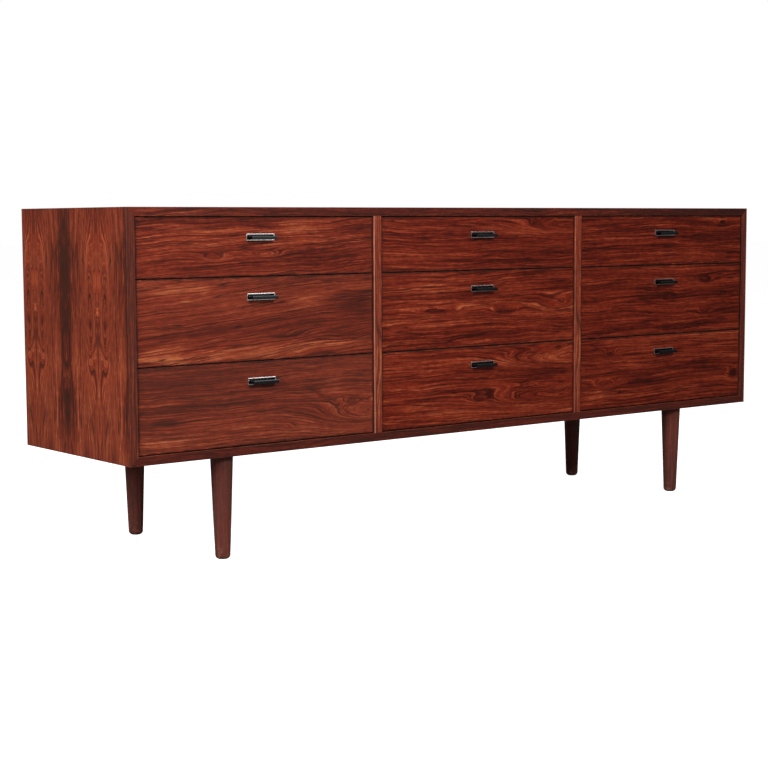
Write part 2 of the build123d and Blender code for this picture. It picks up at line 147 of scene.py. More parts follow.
def bump(tree, shader, height, distance):
    """Relief on a shader, from a height between 0 and about 1 and its depth in metres."""
    node = tree.nodes.new("ShaderNodeBump")
    node.inputs["Distance"].default_value = distance
    connect(tree, node.inputs["Height"], height)
    tree.links.new(node.outputs[0], shader.inputs["Normal"])


def new_group(name, inputs, outputs):
    """An empty node group: inputs are {name: default}, outputs are {name: kind}."""
    tree = bpy.data.node_groups.new(name, "ShaderNodeTree")
    for label, value in inputs.items():
        kind = "Float" if isinstance(value, float) else {3: "Vector", 4: "Color"}[len(value)]
        socket = tree.interface.new_socket(label, in_out="INPUT", socket_type="NodeSocket" + kind)
        socket.default_value = value
    for label, kind in outputs.items():
        tree.interface.new_socket(label, in_out="OUTPUT", socket_type="NodeSocket" + kind)
    return tree, tree.nodes.new("NodeGroupInput").outputs, tree.nodes.new("NodeGroupOutput").inputs


def use_group(tree, group, **values):
    """A copy of a group in a material, with its inputs set or linked by name."""
    node = tree.nodes.new("ShaderNodeGroup")
    node.node_tree = group
    for label, value in values.items():
        connect(tree, node.inputs[label], value)
    return node.outputs


# ------------------------------------------------------------------------- rosewood: the trunk
DRIFT_SCALE = (2.1, 1.5)  # slow wander of the pith, along and across a board
WOBBLE_SCALE = (13.0, 22.0)
WOBBLE = 0.007
DRIFT_DEPTH = 0.02
RAGGED_SCALE = (14.0, 330.0)


def growth_group():
    """Distance from the pith at a point of a board, in metres, bent by taper and wander."""
    inputs = {
        "along": 0.0, "across": 0.0, "deep": 0.0, "seed": 0.0,
        "pith_across": 0.0, "pith_depth": 0.05, "wander": 0.03, "slope": 0.0,
    }
    outputs = {"ring": "Float", "wobble": "Float", "ragged": "Float"}
    tree, given, result = new_group("wood growth", inputs, outputs)
    along, across, seed = given["along"], given["across"], given["seed"]
    drift = centred(tree, grain_noise(tree, along, across, seed, DRIFT_SCALE))
    wobble = centred(tree, grain_noise(tree, along, across, seed, WOBBLE_SCALE, 3.0, 0.55))
    side = total(
        tree,
        calc(tree, "SUBTRACT", across, given["pith_across"]),
        product(tree, drift, given["wander"]),
        product(tree, wobble, WOBBLE),
        product(tree, along, given["slope"]),
    )
    down = total(tree, given["pith_depth"], given["deep"], product(tree, drift, DRIFT_DEPTH))
    ring = calc(tree, "SQRT", total(tree, product(tree, side, side), product(tree, down, down)))
    ragged = grain_noise(tree, along, ring, seed, RAGGED_SCALE, 2.5, 0.6)
    tree.links.new(ring, result["ring"])
    tree.links.new(wobble, result["wobble"])
    tree.links.new(ragged, result["ragged"])
    return tree


def bell(tree, given, wobble_share):
    """1 at the middle of a long soft spot of a board, falling to 0 round it."""
    u = calc(tree, "SUBTRACT", given["along"], given["u"])
    v = calc(tree, "SUBTRACT", given["across"], given["v"])
    v = calc(tree, "SUBTRACT", v, product(tree, u, given["tilt"]))
    u = calc(tree, "DIVIDE", u, given["half_length"])
    v = calc(tree, "DIVIDE", v, given["half_height"])
    v = calc(tree, "ADD", v, product(tree, given["wobble"], wobble_share))
    far = total(tree, product(tree, u, u), product(tree, v, v))
    return calc(tree, "EXPONENT", product(tree, far, -1.0))


SPOT_INPUTS = {
    "along": 0.0, "across": 0.0, "wobble": 0.0, "u": 0.0, "v": 0.0,
    "half_length": 0.05, "half_height": 0.01, "tilt": 0.0,
}
EYE_WOBBLE = 0.9
PATCH_WOBBLE = 1.4
PATCH_STREAKS = 2.2  # how far the streaks break up a patch's edge


def eye_group():
    """Growth rings pushed aside round one eye or hill, with a dark core if it has one."""
    inputs = {**SPOT_INPUTS, "ring": 0.0, "core": 0.0, "pull": 0.0, "dark": 0.0}
    tree, given, result = new_group("wood eye", inputs, {"ring": "Float", "core": "Float"})
    near = bell(tree, given, EYE_WOBBLE)
    lift = product(tree, near, given["pull"], given["half_height"])
    core = product(tree, ramp(tree, near, 0.45, 0.95), given["dark"])
    tree.links.new(calc(tree, "ADD", given["ring"], lift), result["ring"])
    tree.links.new(calc(tree, "MAXIMUM", given["core"], core), result["core"])
    return tree


def patch_group():
    """A lighter or darker patch with streaky edges, added to a board's tone."""
    inputs = {**SPOT_INPUTS, "ragged": 0.5, "tone": 0.0, "amount": 0.0}
    tree, given, result = new_group("wood patch", inputs, {"tone": "Float"})
    near = bell(tree, given, PATCH_WOBBLE)
    streaks = product(tree, centred(tree, given["ragged"]), PATCH_STREAKS)
    streaky = ramp(tree, calc(tree, "ADD", near, streaks), 0.12, 1.05)
    lift = product(tree, streaky, given["amount"])
    tree.links.new(calc(tree, "ADD", given["tone"], lift), result["tone"])
    return tree


# ------------------------------------------------------------------------ rosewood: the colour
ROSEWOOD_SHADES = [
    (0.00, colour(0.030, 0.0030, 0.0010)),
    (0.20, colour(0.075, 0.0060, 0.0020)),
    (0.40, colour(0.140, 0.0125, 0.0042)),
    (0.60, colour(0.225, 0.0270, 0.0090)),
    (0.80, colour(0.335, 0.0600, 0.0220)),
    (1.00, colour(0.500, 0.1350, 0.0500)),
]


# Streaks from broad to hair-fine: scales across the rings and along the grain, seed shift,
# detail, roughness and share in the figure.
STREAKS = [
    ((12.0, 1.0), 0.0, 1.5, 0.50, 0.50),
    ((44.0, 1.5), 11.0, 2.0, 0.55, 0.55),
    ((115.0, 2.8), 23.0, 2.0, 0.55, 0.45),
    ((300.0, 4.2), 29.0, 2.0, 0.60, 0.85),
    ((640.0, 9.0), 41.0, 1.5, 0.60, 1.00),
]
WARP_SCALE = (25.0, 60.0)
WARP = 0.0030
MOTTLE_SCALE = (55.0, 150.0)
MOTTLE_SHARE = 0.55
MIDDLE_TONE = 0.475  # place of the average wood in the shades
CORE_DEPTH = 0.45  # how far an eye's core darkens
YEARS = 105.0  # growth lines per metre
YEAR_SWAY = 4.0
LINE_W = 0.15  # half a growth line, in years
HEAVY_LINE_W = 0.030
LINE_TINT = colour(0.17, 0.15, 0.19)
FIBRE_SCALE = (1500.0, 22.0)
FIBRE_TINT = colour(0.030, 0.007, 0.005)
PORE_SCALE = (2100.0, 120.0)
PORE_TINT = colour(0.018, 0.005, 0.004)
OILED_ROUGHNESS = 0.37
WOOD_OUTPUTS = {"colour": "Color", "roughness": "Float", "height": "Float"}


def rosewood_group():
    """Colour, roughness and height of oiled rosewood from its growth rings."""
    inputs = {
        "ring": 0.0, "along": 0.0, "across": 0.0, "seed": 0.0,
        "core": 0.0, "tone": 0.0, "contrast": 1.0, "lines": 0.9,
    }
    tree, given, result = new_group("rosewood", inputs, WOOD_OUTPUTS)
    along, across, seed = given["along"], given["across"], given["seed"]
    warp = product(tree, centred(tree, grain_noise(tree, along, across, seed, WARP_SCALE)), WARP)
    ring = calc(tree, "ADD", given["ring"], warp)

    def streaks(scale, shift, detail=2.0, rough=0.5):
        return grain_noise(tree, ring, along, calc(tree, "ADD", seed, shift), scale, detail, rough)

    mottle_seed = calc(tree, "ADD", seed, 37.0)
    mottle = centred(tree, grain_noise(tree, along, across, mottle_seed, MOTTLE_SCALE, 3.0, 0.6))
    layers = []
    for scale, shift, detail, rough, share in STREAKS:
        layers.append(product(tree, centred(tree, streaks(scale, shift, detail, rough)), share))
    figure = total(tree, *layers, product(tree, mottle, MOTTLE_SHARE))
    value = total(tree, product(tree, figure, given["contrast"]), MIDDLE_TONE, given["tone"])
    value = calc(tree, "SUBTRACT", value, product(tree, given["core"], CORE_DEPTH))

    shades = tree.nodes.new("ShaderNodeValToRGB")
    connect(tree, shades.inputs[0], value)
    while len(shades.color_ramp.elements) < len(ROSEWOOD_SHADES):
        shades.color_ramp.elements.new(0.5)
    for element, (place, shade) in zip(shades.color_ramp.elements, ROSEWOOD_SHADES):
        element.position = place
        element.color = shade
    base = shades.outputs[0]

    # Thin dark growth lines: uneven yearly rings, and heavier lines where a noise is middling.
    sway = product(tree, streaks((26.0, 1.6), 61.0), YEAR_SWAY)
    years = total(tree, product(tree, ring, YEARS), sway)
    line = ramp(tree, calc(tree, "PINGPONG", years, 0.5), 0.0, LINE_W, 1.0, 0.0)
    contour = calc(tree, "ABSOLUTE", centred(tree, streaks((80.0, 2.5), 71.0)))
    heavy = ramp(tree, contour, 0.0, HEAVY_LINE_W, 1.0, 0.0)
    strength = ramp(tree, streaks((60.0, 5.0), 83.0, 2.5, 0.6), 0.36, 0.56, 0.35, 1.0)
    line = product(tree, calc(tree, "MAXIMUM", line, heavy), strength, given["lines"])
    base = mix(tree, line, base, mix(tree, 1.0, base, LINE_TINT, "MULTIPLY"))

    # Fibres and open pores, short dark dashes along the grain.
    fibre = streaks(FIBRE_SCALE, 91.0)
    base = mix(tree, ramp(tree, fibre, 0.30, 0.70, 0.25, 0.0), base, FIBRE_TINT)
    pore = ramp(tree, streaks(PORE_SCALE, 97.0, 1.0), 0.60, 0.72)
    base = mix(tree, product(tree, pore, 0.50), base, PORE_TINT)

    rough = total(
        tree,
        OILED_ROUGHNESS,
        product(tree, centred(tree, fibre), 0.10),
        product(tree, mottle, 0.12),
        product(tree, pore, 0.18),
    )
    height = calc(tree, "SUBTRACT", product(tree, fibre, 0.35), pore)
    tree.links.new(base, result["colour"])
    tree.links.new(rough, result["roughness"])
    tree.links.new(height, result["height"])
    return tree


# ------------------------------------------------------------------------- closeness to an edge, for wear and painted shade
EDGE_SCALE = (38.0, 38.0)


def edge_group():
    """Closeness to the outline of a rectangle in two coordinates: 1 on it, 0 past the width."""
    inputs = {
        "u": 0.0, "v": 0.0, "low": (0.0, 0.0, 0.0), "high": (1.0, 1.0, 0.0),
        "width": 0.002, "seed": 0.0,
    }
    tree, given, result = new_group("edge wear and shade", inputs, {"near": "Float"})
    low, high = split(tree, given["low"]), split(tree, given["high"])
    gaps = [
        calc(tree, "SUBTRACT", given["u"], low[0]),
        calc(tree, "SUBTRACT", high[0], given["u"]),
        calc(tree, "SUBTRACT", given["v"], low[1]),
        calc(tree, "SUBTRACT", high[1], given["v"]),
    ]
    gap = gaps[0]
    for other in gaps[1:]:
        gap = calc(tree, "MINIMUM", gap, other)
    gap = calc(tree, "ABSOLUTE", gap)
    ragged = grain_noise(tree, given["u"], given["v"], given["seed"], EDGE_SCALE, 4.0, 0.65)
    ragged = ramp(tree, ragged, 0.35, 0.65, 0.15, 1.6)
    reach = calc(tree, "MAXIMUM", product(tree, given["width"], ragged), 0.00001)
    near = calc(tree, "DIVIDE", gap, reach)
    tree.links.new(ramp(tree, near, 0.0, 1.0, 1.0, 0.0), result["near"])
    return tree


# ---------------------------------------------------------------------------- plain timber
SWAY_SCALE = (2.5, 7.0)
SWAY = 0.06
PITH_SIDE = 0.07  # the pith lies this far beside and below a plain board
PITH_BELOW = 0.04
TIMBER_ROUGHNESS = 0.46
TIMBER_PORE_TINT = colour(0.35, 0.30, 0.26)


def timber_group():
    """Colour, roughness and height of pale plain timber, such as oak, beech or plywood faces."""
    inputs = {
        "along": 0.0, "across": 0.0, "deep": 0.0, "seed": 0.0, "ring_scale": 90.0,
        "pores": 0.5, "light": colour(0.5, 0.4, 0.3), "dark": colour(0.3, 0.2, 0.1),
    }
    tree, given, result = new_group("plain timber", inputs, WOOD_OUTPUTS)
    along, across, seed = given["along"], given["across"], given["seed"]
    sway = product(tree, centred(tree, grain_noise(tree, along, across, seed, SWAY_SCALE)), SWAY)
    side = total(tree, across, sway, PITH_SIDE)
    down = calc(tree, "ADD", given["deep"], PITH_BELOW)
    ring = calc(tree, "SQRT", total(tree, product(tree, side, side), product(tree, down, down)))
    bands = grain_noise(tree, ring, along, seed, (given["ring_scale"], 1.2), 3.0, 0.6)
    fibre = grain_noise(tree, ring, along, seed, (900.0, 18.0), 2.0, 0.6)
    pore = ramp(tree, grain_noise(tree, ring, along, seed, (1500.0, 90.0), 1.0), 0.58, 0.70)
    pore = product(tree, pore, given["pores"])
    shade = total(tree, bands, product(tree, centred(tree, fibre), 0.7))
    base = mix(tree, ramp(tree, shade, 0.30, 0.72), given["light"], given["dark"])
    base = mix(tree, pore, base, mix(tree, 1.0, base, TIMBER_PORE_TINT, "MULTIPLY"))
    uneven = product(tree, centred(tree, bands), 0.15)
    rough = total(tree, TIMBER_ROUGHNESS, uneven, product(tree, pore, 0.15))
    tree.links.new(base, result["colour"])
    tree.links.new(rough, result["roughness"])
    tree.links.new(calc(tree, "SUBTRACT", product(tree, fibre, 0.5), pore), result["height"])
    return tree


GROWTH = growth_group()
EYE = eye_group()
PATCH = patch_group()
ROSEWOOD = rosewood_group()
EDGES = edge_group()
TIMBER = timber_group()


# ------------------------------------------------------------------------- material helpers
def new_material(name):
    """A material with its shader, and the object's own coordinates as three sockets."""
    material = bpy.data.materials.new(name)
    material.use_nodes = True
    tree = material.node_tree
    shader = tree.nodes["Principled BSDF"]
    place = tree.nodes.new("ShaderNodeTexCoord").outputs["Object"]
    return material, tree, shader, place, split(tree, place)


def facing(tree):
    """The absolute components of the surface's direction."""
    normal = split(tree, tree.nodes.new("ShaderNodeNewGeometry").outputs["True Normal"])
    return [calc(tree, "ABSOLUTE", component) for component in normal]


WOOD_DEPTH = 0.00008


def finish_wood(tree, shader, base, wood, depth=WOOD_DEPTH):
    """Wire a wood's colour, roughness and relief to its shader."""
    tree.links.new(base, shader.inputs["Base Color"])
    tree.links.new(wood["roughness"], shader.inputs["Roughness"])
    bump(tree, shader, wood["height"], depth)


def oiled(shader):
    """The satin oil finish that all the rosewood shares."""
    shader.inputs["IOR"].default_value = 1.45
    shader.inputs["Specular IOR Level"].default_value = 0.13
    shader.inputs["Coat Weight"].default_value = 0.03
    shader.inputs["Coat Roughness"].default_value = 0.28


def board(seed, tone=0.0, contrast=1.0, lines=0.9, eyes=(), patches=(), growth=None):
    """One board's figure.

    eyes are (u, v, half length, half height, pull, dark core), and patches are
    (u, v, half length, half height, tilt, amount), with u along the grain and v across it.
    """
    settings = {"pith_across": -0.18, "pith_depth": 0.03, "wander": 0.04, "slope": 0.0}
    settings.update(growth or {})
    settings["seed"] = seed
    wood = {"seed": seed, "contrast": contrast, "lines": lines}
    return {"growth": settings, "wood": wood, "tone": tone, "eyes": eyes, "patches": patches}


def saw(tree, timber, along, across, deep, extra_tone=0.0):
    """Colour, roughness and height of a rosewood board at a place in it."""
    growth = use_group(tree, GROWTH, along=along, across=across, deep=deep, **timber["growth"])
    spot = {"along": along, "across": across, "wobble": growth["wobble"]}
    ring, core = growth["ring"], 0.0
    for u, v, half_length, half_height, pull, dark in timber["eyes"]:
        out = use_group(
            tree, EYE, ring=ring, core=core, u=u, v=v, half_length=half_length,
            half_height=half_height, pull=pull, dark=dark, **spot,
        )
        ring, core = out["ring"], out["core"]
    tone = calc(tree, "ADD", timber["tone"], extra_tone)
    for u, v, half_length, half_height, tilt, amount in timber["patches"]:
        tone = use_group(
            tree, PATCH, tone=tone, u=u, v=v, half_length=half_length, half_height=half_height,
            tilt=tilt, amount=amount, ragged=growth["ragged"], **spot,
        )["tone"]
    return use_group(
        tree, ROSEWOOD, ring=ring, core=core, tone=tone, along=along, across=across, **timber["wood"]
    )


def paint(node, material):
    """Put one material on a CAD node."""
    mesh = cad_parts[node].data
    mesh.materials.clear()
    mesh.materials.append(material)


# ------------------------------------------------------------------------------ drawer fronts
# Along runs from -0.32 at a front's left end to 0.32, across from -0.09 at its lower edge to
# 0.09, or +-0.065 on the top row.
# The right-hand fronts are given lower tones, and the centre ones a little lower: beside each
# board's own tone, this is painted shade that deepens towards the right.
FRONT_BOARDS = {
    "top_left_drawer": board(
        3.1, 0.045, 1.1, growth={"slope": -0.05},
        eyes=[(0.015, -0.018, 0.05, 0.008, 2.2, 0.0), (-0.12, -0.022, 0.04, 0.008, 1.8, 0.0)],
        patches=[
            (-0.18, 0.040, 0.11, 0.014, -0.10, 0.16), (0.105, 0.030, 0.070, 0.024, 0.0, 0.19),
            (0.020, 0.046, 0.040, 0.012, 0.0, -0.24), (-0.11, -0.022, 0.045, 0.010, 0.0, 0.17),
            (0.015, -0.018, 0.050, 0.007, 0.0, 0.16), (0.180, -0.026, 0.150, 0.026, 0.0, -0.22),
            (0.260, 0.045, 0.070, 0.012, 0.0, -0.20), (-0.31, 0.0, 0.025, 0.060, 0.0, -0.06),
        ],
    ),
    "middle_left_drawer": board(
        7.4, 0.030, 0.75, 1.0, growth={"slope": -0.06},
        eyes=[(0.08, -0.042, 0.06, 0.010, 0.9, 0.3), (0.238, -0.047, 0.05, 0.010, 0.9, 0.3)],
        patches=[
            (-0.20, 0.062, 0.12, 0.022, -0.10, 0.19), (-0.149, 0.062, 0.014, 0.008, 0.0, 0.17),
            (-0.197, 0.047, 0.014, 0.008, 0.0, 0.16), (-0.15, 0.0, 0.130, 0.036, 0.0, -0.10),
            (0.130, 0.030, 0.045, 0.018, 0.0, 0.17), (0.270, 0.022, 0.060, 0.032, 0.0, -0.28),
            (0.180, -0.011, 0.150, 0.007, 0.0, -0.18), (-0.02, -0.020, 0.300, 0.030, 0.0, -0.10),
            (-0.02, -0.074, 0.330, 0.015, 0.03, 0.36), (-0.25, -0.070, 0.100, 0.020, 0.0, 0.32),
        ],
    ),
    "bottom_left_drawer": board(
        12.7, -0.055, 1.0,
        eyes=[(0.29, -0.050, 0.14, 0.034, 1.6, 0.0), (0.085, -0.065, 0.03, 0.008, 1.3, 0.0)],
        patches=[
            (-0.165, 0.001, 0.160, 0.011, 0.02, -0.22), (-0.247, -0.026, 0.035, 0.009, 0.0, -0.28),
            (0.203, 0.030, 0.035, 0.022, 0.0, 0.19), (0.117, -0.060, 0.030, 0.012, 0.0, 0.16),
            (-0.245, -0.070, 0.070, 0.016, 0.05, 0.16), (0.160, 0.010, 0.050, 0.006, -0.5, -0.22),
        ],
    ),
    "top_centre_drawer": board(
        17.9, -0.05, eyes=[(0.32, 0.040, 0.16, 0.016, 3.0, 0.0)],
        patches=[
            (-0.187, 0.024, 0.110, 0.010, 0.0, -0.20), (-0.105, 0.024, 0.020, 0.007, 0.0, -0.20),
            (-0.185, 0.024, 0.020, 0.007, 0.0, -0.15), (0.115, 0.022, 0.055, 0.013, 0.0, 0.19),
            (0.0, -0.030, 0.300, 0.006, 0.0, 0.15), (0.0, -0.045, 0.300, 0.008, 0.0, -0.15),
        ],
    ),
    "middle_centre_drawer": board(
        21.3, -0.04, growth={"slope": -0.03},
        eyes=[
            (-0.143, -0.004, 0.10, 0.010, 1.8, 0.3), (0.076, -0.010, 0.05, 0.009, 2.0, 0.6),
            (0.26, -0.012, 0.17, 0.030, 1.1, 0.0),
        ],
        patches=[
            (-0.155, 0.060, 0.130, 0.024, 0.08, 0.16), (-0.065, 0.029, 0.060, 0.008, 0.0, -0.24),
            (0.145, 0.075, 0.050, 0.010, 0.0, -0.20), (0.230, 0.055, 0.100, 0.028, 0.0, -0.08),
            (-0.143, -0.004, 0.110, 0.009, 0.0, -0.24), (0.076, -0.010, 0.050, 0.008, 0.0, -0.22),
            (-0.10, -0.033, 0.250, 0.006, 0.03, 0.18), (-0.09, -0.052, 0.070, 0.012, 0.0, -0.20),
            (0.0, -0.069, 0.300, 0.010, 0.0, -0.14), (-0.015, -0.080, 0.070, 0.006, 0.0, 0.20),
            (0.018, -0.078, 0.012, 0.006, 0.0, 0.16),
        ],
    ),
    "bottom_centre_drawer": board(
        26.8, 0.0,
        eyes=[
            (0.30, 0.050, 0.20, 0.022, 3.2, 0.0), (0.26, -0.045, 0.22, 0.024, 3.2, 0.0),
            (-0.010, -0.037, 0.026, 0.008, 2.0, 0.6),
        ],
        patches=[
            (-0.25, 0.002, 0.060, 0.004, 0.0, 0.15), (-0.243, 0.001, 0.018, 0.005, 0.0, -0.24),
            (-0.23, -0.045, 0.050, 0.011, 0.0, 0.17), (0.073, 0.057, 0.040, 0.017, 0.0, 0.16),
            (0.230, 0.016, 0.090, 0.020, 0.0, -0.20), (0.0, -0.073, 0.300, 0.013, 0.0, 0.15),
        ],
    ),
    "top_right_drawer": board(
        33.6, -0.105, 1.1, growth={"slope": -0.02}, eyes=[(0.24, 0.045, 0.03, 0.010, 1.8, 0.6)],
        patches=[
            (-0.215, 0.009, 0.110, 0.010, 0.0, 0.16), (-0.22, 0.009, 0.014, 0.006, 0.0, 0.16),
            (-0.075, -0.035, 0.220, 0.012, 0.0, 0.17), (-0.155, 0.037, 0.120, 0.017, 0.0, -0.22),
            (0.240, 0.045, 0.030, 0.010, 0.0, -0.22),
        ],
    ),
    "middle_right_drawer": board(
        38.2, -0.06,
        eyes=[(0.17, 0.050, 0.04, 0.010, 2.0, 0.3), (0.17, -0.037, 0.03, 0.010, 2.0, 0.3)],
        patches=[
            (0.060, 0.006, 0.260, 0.014, 0.0, -0.26), (0.040, 0.024, 0.150, 0.008, 0.0, 0.16),
            (0.255, 0.0, 0.070, 0.060, 0.0, -0.15), (0.170, 0.050, 0.030, 0.007, 0.0, -0.22),
            (0.170, -0.037, 0.020, 0.008, 0.0, -0.22), (-0.12, -0.045, 0.130, 0.010, 0.0, 0.16),
            (0.0, -0.077, 0.330, 0.016, 0.0, -0.12),
        ],
    ),
    "bottom_right_drawer": board(
        44.5, -0.06,
        eyes=[
            (-0.222, -0.029, 0.05, 0.011, 2.4, 0.0), (-0.205, 0.050, 0.022, 0.010, 2.2, 0.7),
            (0.294, -0.027, 0.025, 0.012, 2.0, 0.8),
        ],
        patches=[
            (-0.08, -0.027, 0.090, 0.008, 0.0, -0.24), (-0.256, -0.060, 0.065, 0.024, 0.0, 0.27),
            (0.166, 0.0, 0.160, 0.034, 0.0, -0.20), (0.135, 0.057, 0.050, 0.005, 0.0, -0.20),
            (0.090, -0.060, 0.100, 0.024, 0.0, 0.16), (0.294, -0.027, 0.022, 0.012, 0.0, -0.30),
            (0.267, -0.027, 0.007, 0.014, 0.0, 0.20),
        ],
    ),
}
# How far some fronts' wood leans to a plainer brown.
BROWNER = {"bottom_left_drawer": 0.20, "middle_left_drawer": 0.12, "top_left_drawer": 0.05}
BROWN = colour(0.130, 0.052, 0.034)
WORN = colour(0.26, 0.085, 0.045)  # rubbed arrises
# Near-black for painted shade: a band inside the edges of faces, a line round each drawer front
# beside its gap, and the tops of the legs under the case.
PAINTED_SHADE = colour(0.026, 0.008, 0.006)
WORN_W, WORN_SHARE = 0.0016, 0.30
# Width and share of the band of painted shade inside a face's edges.
SHADE_BAND_W, SHADE_BAND_SHARE = 0.006, 0.35
GAP_SHADE_W = 0.0030  # painted shade: a dark line drawn round each drawer front, beside the gap
GAP_SHADE_IN = 0.0014  # the line lies this far in at a front's ends
GAP_SHADE_DARK = 0.75


def wear_and_edge_shade(tree, base, u, v, low, high):
    """Rubbed arrises, and a darker band of painted shade just inside the edges of a rectangular
    face.
    """
    corners = {"low": (low[0], low[1], 0), "high": (high[0], high[1], 0)}
    near = use_group(tree, EDGES, u=u, v=v, width=WORN_W, seed=3.0, **corners)["near"]
    base = mix(tree, product(tree, near, WORN_SHARE), base, WORN)
    # Painted shade: a darker band just inside the face's edges, beside the gaps and joins.
    shade_band = use_group(tree, EDGES, u=u, v=v, width=SHADE_BAND_W, seed=5.0, **corners)["near"]
    shade_band = product(tree, shade_band, calc(tree, "SUBTRACT", 1.0, near))
    return mix(tree, product(tree, shade_band, SHADE_BAND_SHARE), base, PAINTED_SHADE)


def drawer_front_material(drawer, timber):
    """Veneer of one drawer front, grain along X, with painted shade along its edges and a dark line
    of painted shade round it.
    """
    low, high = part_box(f"{drawer}_front")
    middle = (low + high) / 2
    material, tree, shader, _, (x, y, z) = new_material(f"{drawer}_veneer")
    along = calc(tree, "SUBTRACT", x, middle.x)
    across = calc(tree, "SUBTRACT", z, middle.z)
    deep = calc(tree, "SUBTRACT", y, low.y)
    wood = saw(tree, timber, along, across, deep)
    base = mix(tree, BROWNER.get(drawer, 0.0), wood["colour"], BROWN)
    base = wear_and_edge_shade(tree, base, x, z, (low.x, low.z), (high.x, high.z))
    # A dark line round the front: painted shade that makes the gap read wider.
    corners = {"low": (low.x + GAP_SHADE_IN, low.z, 0), "high": (high.x - GAP_SHADE_IN, high.z, 0)}
    gap_shade = use_group(tree, EDGES, u=x, v=z, width=GAP_SHADE_W, seed=9.0, **corners)["near"]
    base = mix(tree, product(tree, ramp(tree, gap_shade, 0.0, 0.5), GAP_SHADE_DARK), base, PAINTED_SHADE)
    finish_wood(tree, shader, base, wood)
    oiled(shader)
    return material


for drawer in DRAWERS:
    paint(f"{drawer}_front", drawer_front_material(drawer, FRONT_BOARDS[drawer]))

# ------------------------------------------------------------------------------ case panels
DULL = colour(0.050, 0.020, 0.015)
EDGE_SHIFT = 0.31  # the front edge bands are cut from wood this far away


def front_edge_mask(tree, y):
    """1 on the front edge of a panel, 0 on its faces."""
    return ramp(tree, y, CASE_FRONT + 0.0010, CASE_FRONT + 0.0006)


def long_panel_material(name, timber, edge_tone, edge_dull):
    """Top or bottom panel: grain along X, with its own band on the front edge."""
    low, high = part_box(name)
    material, tree, shader, _, (x, y, z) = new_material(f"{name}_veneer")
    on_edge = front_edge_mask(tree, y)
    across = total(tree, y, z, product(tree, on_edge, EDGE_SHIFT))
    wood = saw(tree, timber, x, across, 0.0, product(tree, on_edge, edge_tone))
    base = mix(tree, product(tree, on_edge, edge_dull), wood["colour"], DULL)
    # Rubbed arrises and a band of painted shade along the edges, kept to the front band.
    worn = wear_and_edge_shade(tree, base, x, z, (low.x, low.z), (high.x, high.z))
    finish_wood(tree, shader, mix(tree, on_edge, base, worn), wood)
    oiled(shader)
    return material


LEAF_W = 0.1457  # width of one leaf of the side panels' book-matched veneer
LEAF_START = 0.015  # the first seam lies this far ahead of the front edge
SIDE_BOARD = board(
    63.0, 0.145, 1.20, 1.0, growth={"pith_across": -0.10, "wander": 0.02},
    eyes=[
        (0.05, 0.1035, 0.160, 0.026, 2.4, 0.0), (0.02, 0.1125, 0.018, 0.010, 2.0, 0.9),
        (-0.025, 0.0, 0.100, 0.012, 2.0, 0.0),
    ],
    patches=[
        (0.12, 0.0, 0.125, 0.050, 0.0, -1.00), (-0.17, 0.0, 0.095, 0.046, 0.0, -0.85),
        (0.25, 0.0, 0.060, 0.040, 0.0, -0.60), (-0.02, 0.0, 0.100, 0.034, 0.0, -0.60),
        (-0.025, 0.011, 0.080, 0.002, 0.0, 0.24), (-0.02, 0.1125, 0.030, 0.006, 0.0, -0.26),
        (-0.16, 0.095, 0.110, 0.050, 0.0, 0.10), (0.19, 0.1035, 0.050, 0.018, 0.0, 0.12),
    ],
)


SUN_FADE = 0.12  # how far the ends of the case have faded
FADED = colour(0.17, 0.070, 0.040)
SIDE_EDGE_TONE = -0.22
SIDE_EDGE_DULL = 0.35


def side_panel_material(name, timber):
    """Side panel: upright grain, veneer leaves mirrored about their seams."""
    low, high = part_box(name)
    material, tree, shader, _, (x, y, z) = new_material(f"{name}_veneer")
    on_edge = front_edge_mask(tree, y)
    leaf = calc(tree, "PINGPONG", calc(tree, "SUBTRACT", y, CASE_FRONT - LEAF_START), LEAF_W)
    leaf = total(tree, leaf, product(tree, on_edge, total(tree, EDGE_SHIFT, x)))
    up = calc(tree, "SUBTRACT", z, CASE_MID_Z)
    wood = saw(tree, timber, up, leaf, 0.0, product(tree, on_edge, SIDE_EDGE_TONE))
    base = mix(tree, SUN_FADE, wood["colour"], FADED)
    base = mix(tree, product(tree, on_edge, SIDE_EDGE_DULL), base, DULL)
    # Rubbed arrises and a band of painted shade along the edges, kept to the side faces.
    worn = wear_and_edge_shade(tree, base, y, z, (low.y, low.z), (high.y, high.z))
    finish_wood(tree, shader, mix(tree, on_edge, worn, base), wood)
    oiled(shader)
    return material


DIVIDER_GREY = colour(0.13, 0.050, 0.035)
# Colour of the highlight painted on a divider's left arris.
DIVIDER_HIGHLIGHT = colour(0.50, 0.25, 0.17)


def divider_material(name, timber, highlight_share):
    """Divider: solid upright wood, a little greyer than the drawers, with a painted highlight on its
    left arris.
    """
    low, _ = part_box(name)
    material, tree, shader, _, (x, y, z) = new_material(f"{name}_wood")
    across = calc(tree, "SUBTRACT", x, low.x)
    up = calc(tree, "SUBTRACT", z, CASE_MID_Z)
    wood = saw(tree, timber, up, total(tree, across, product(tree, y, 0.7)), 0.0)
    base = mix(tree, 0.20, wood["colour"], DIVIDER_GREY)
    # Painted highlight: a light line on the left arris of the front edge, stronger on the left
    # divider than on the right.
    rubbed = product(tree, ramp(tree, across, 0.0022, 0.0012), highlight_share)
    base = mix(tree, product(tree, rubbed, front_edge_mask(tree, y)), base, DIVIDER_HIGHLIGHT)
    finish_wood(tree, shader, base, wood)
    oiled(shader)
    return material


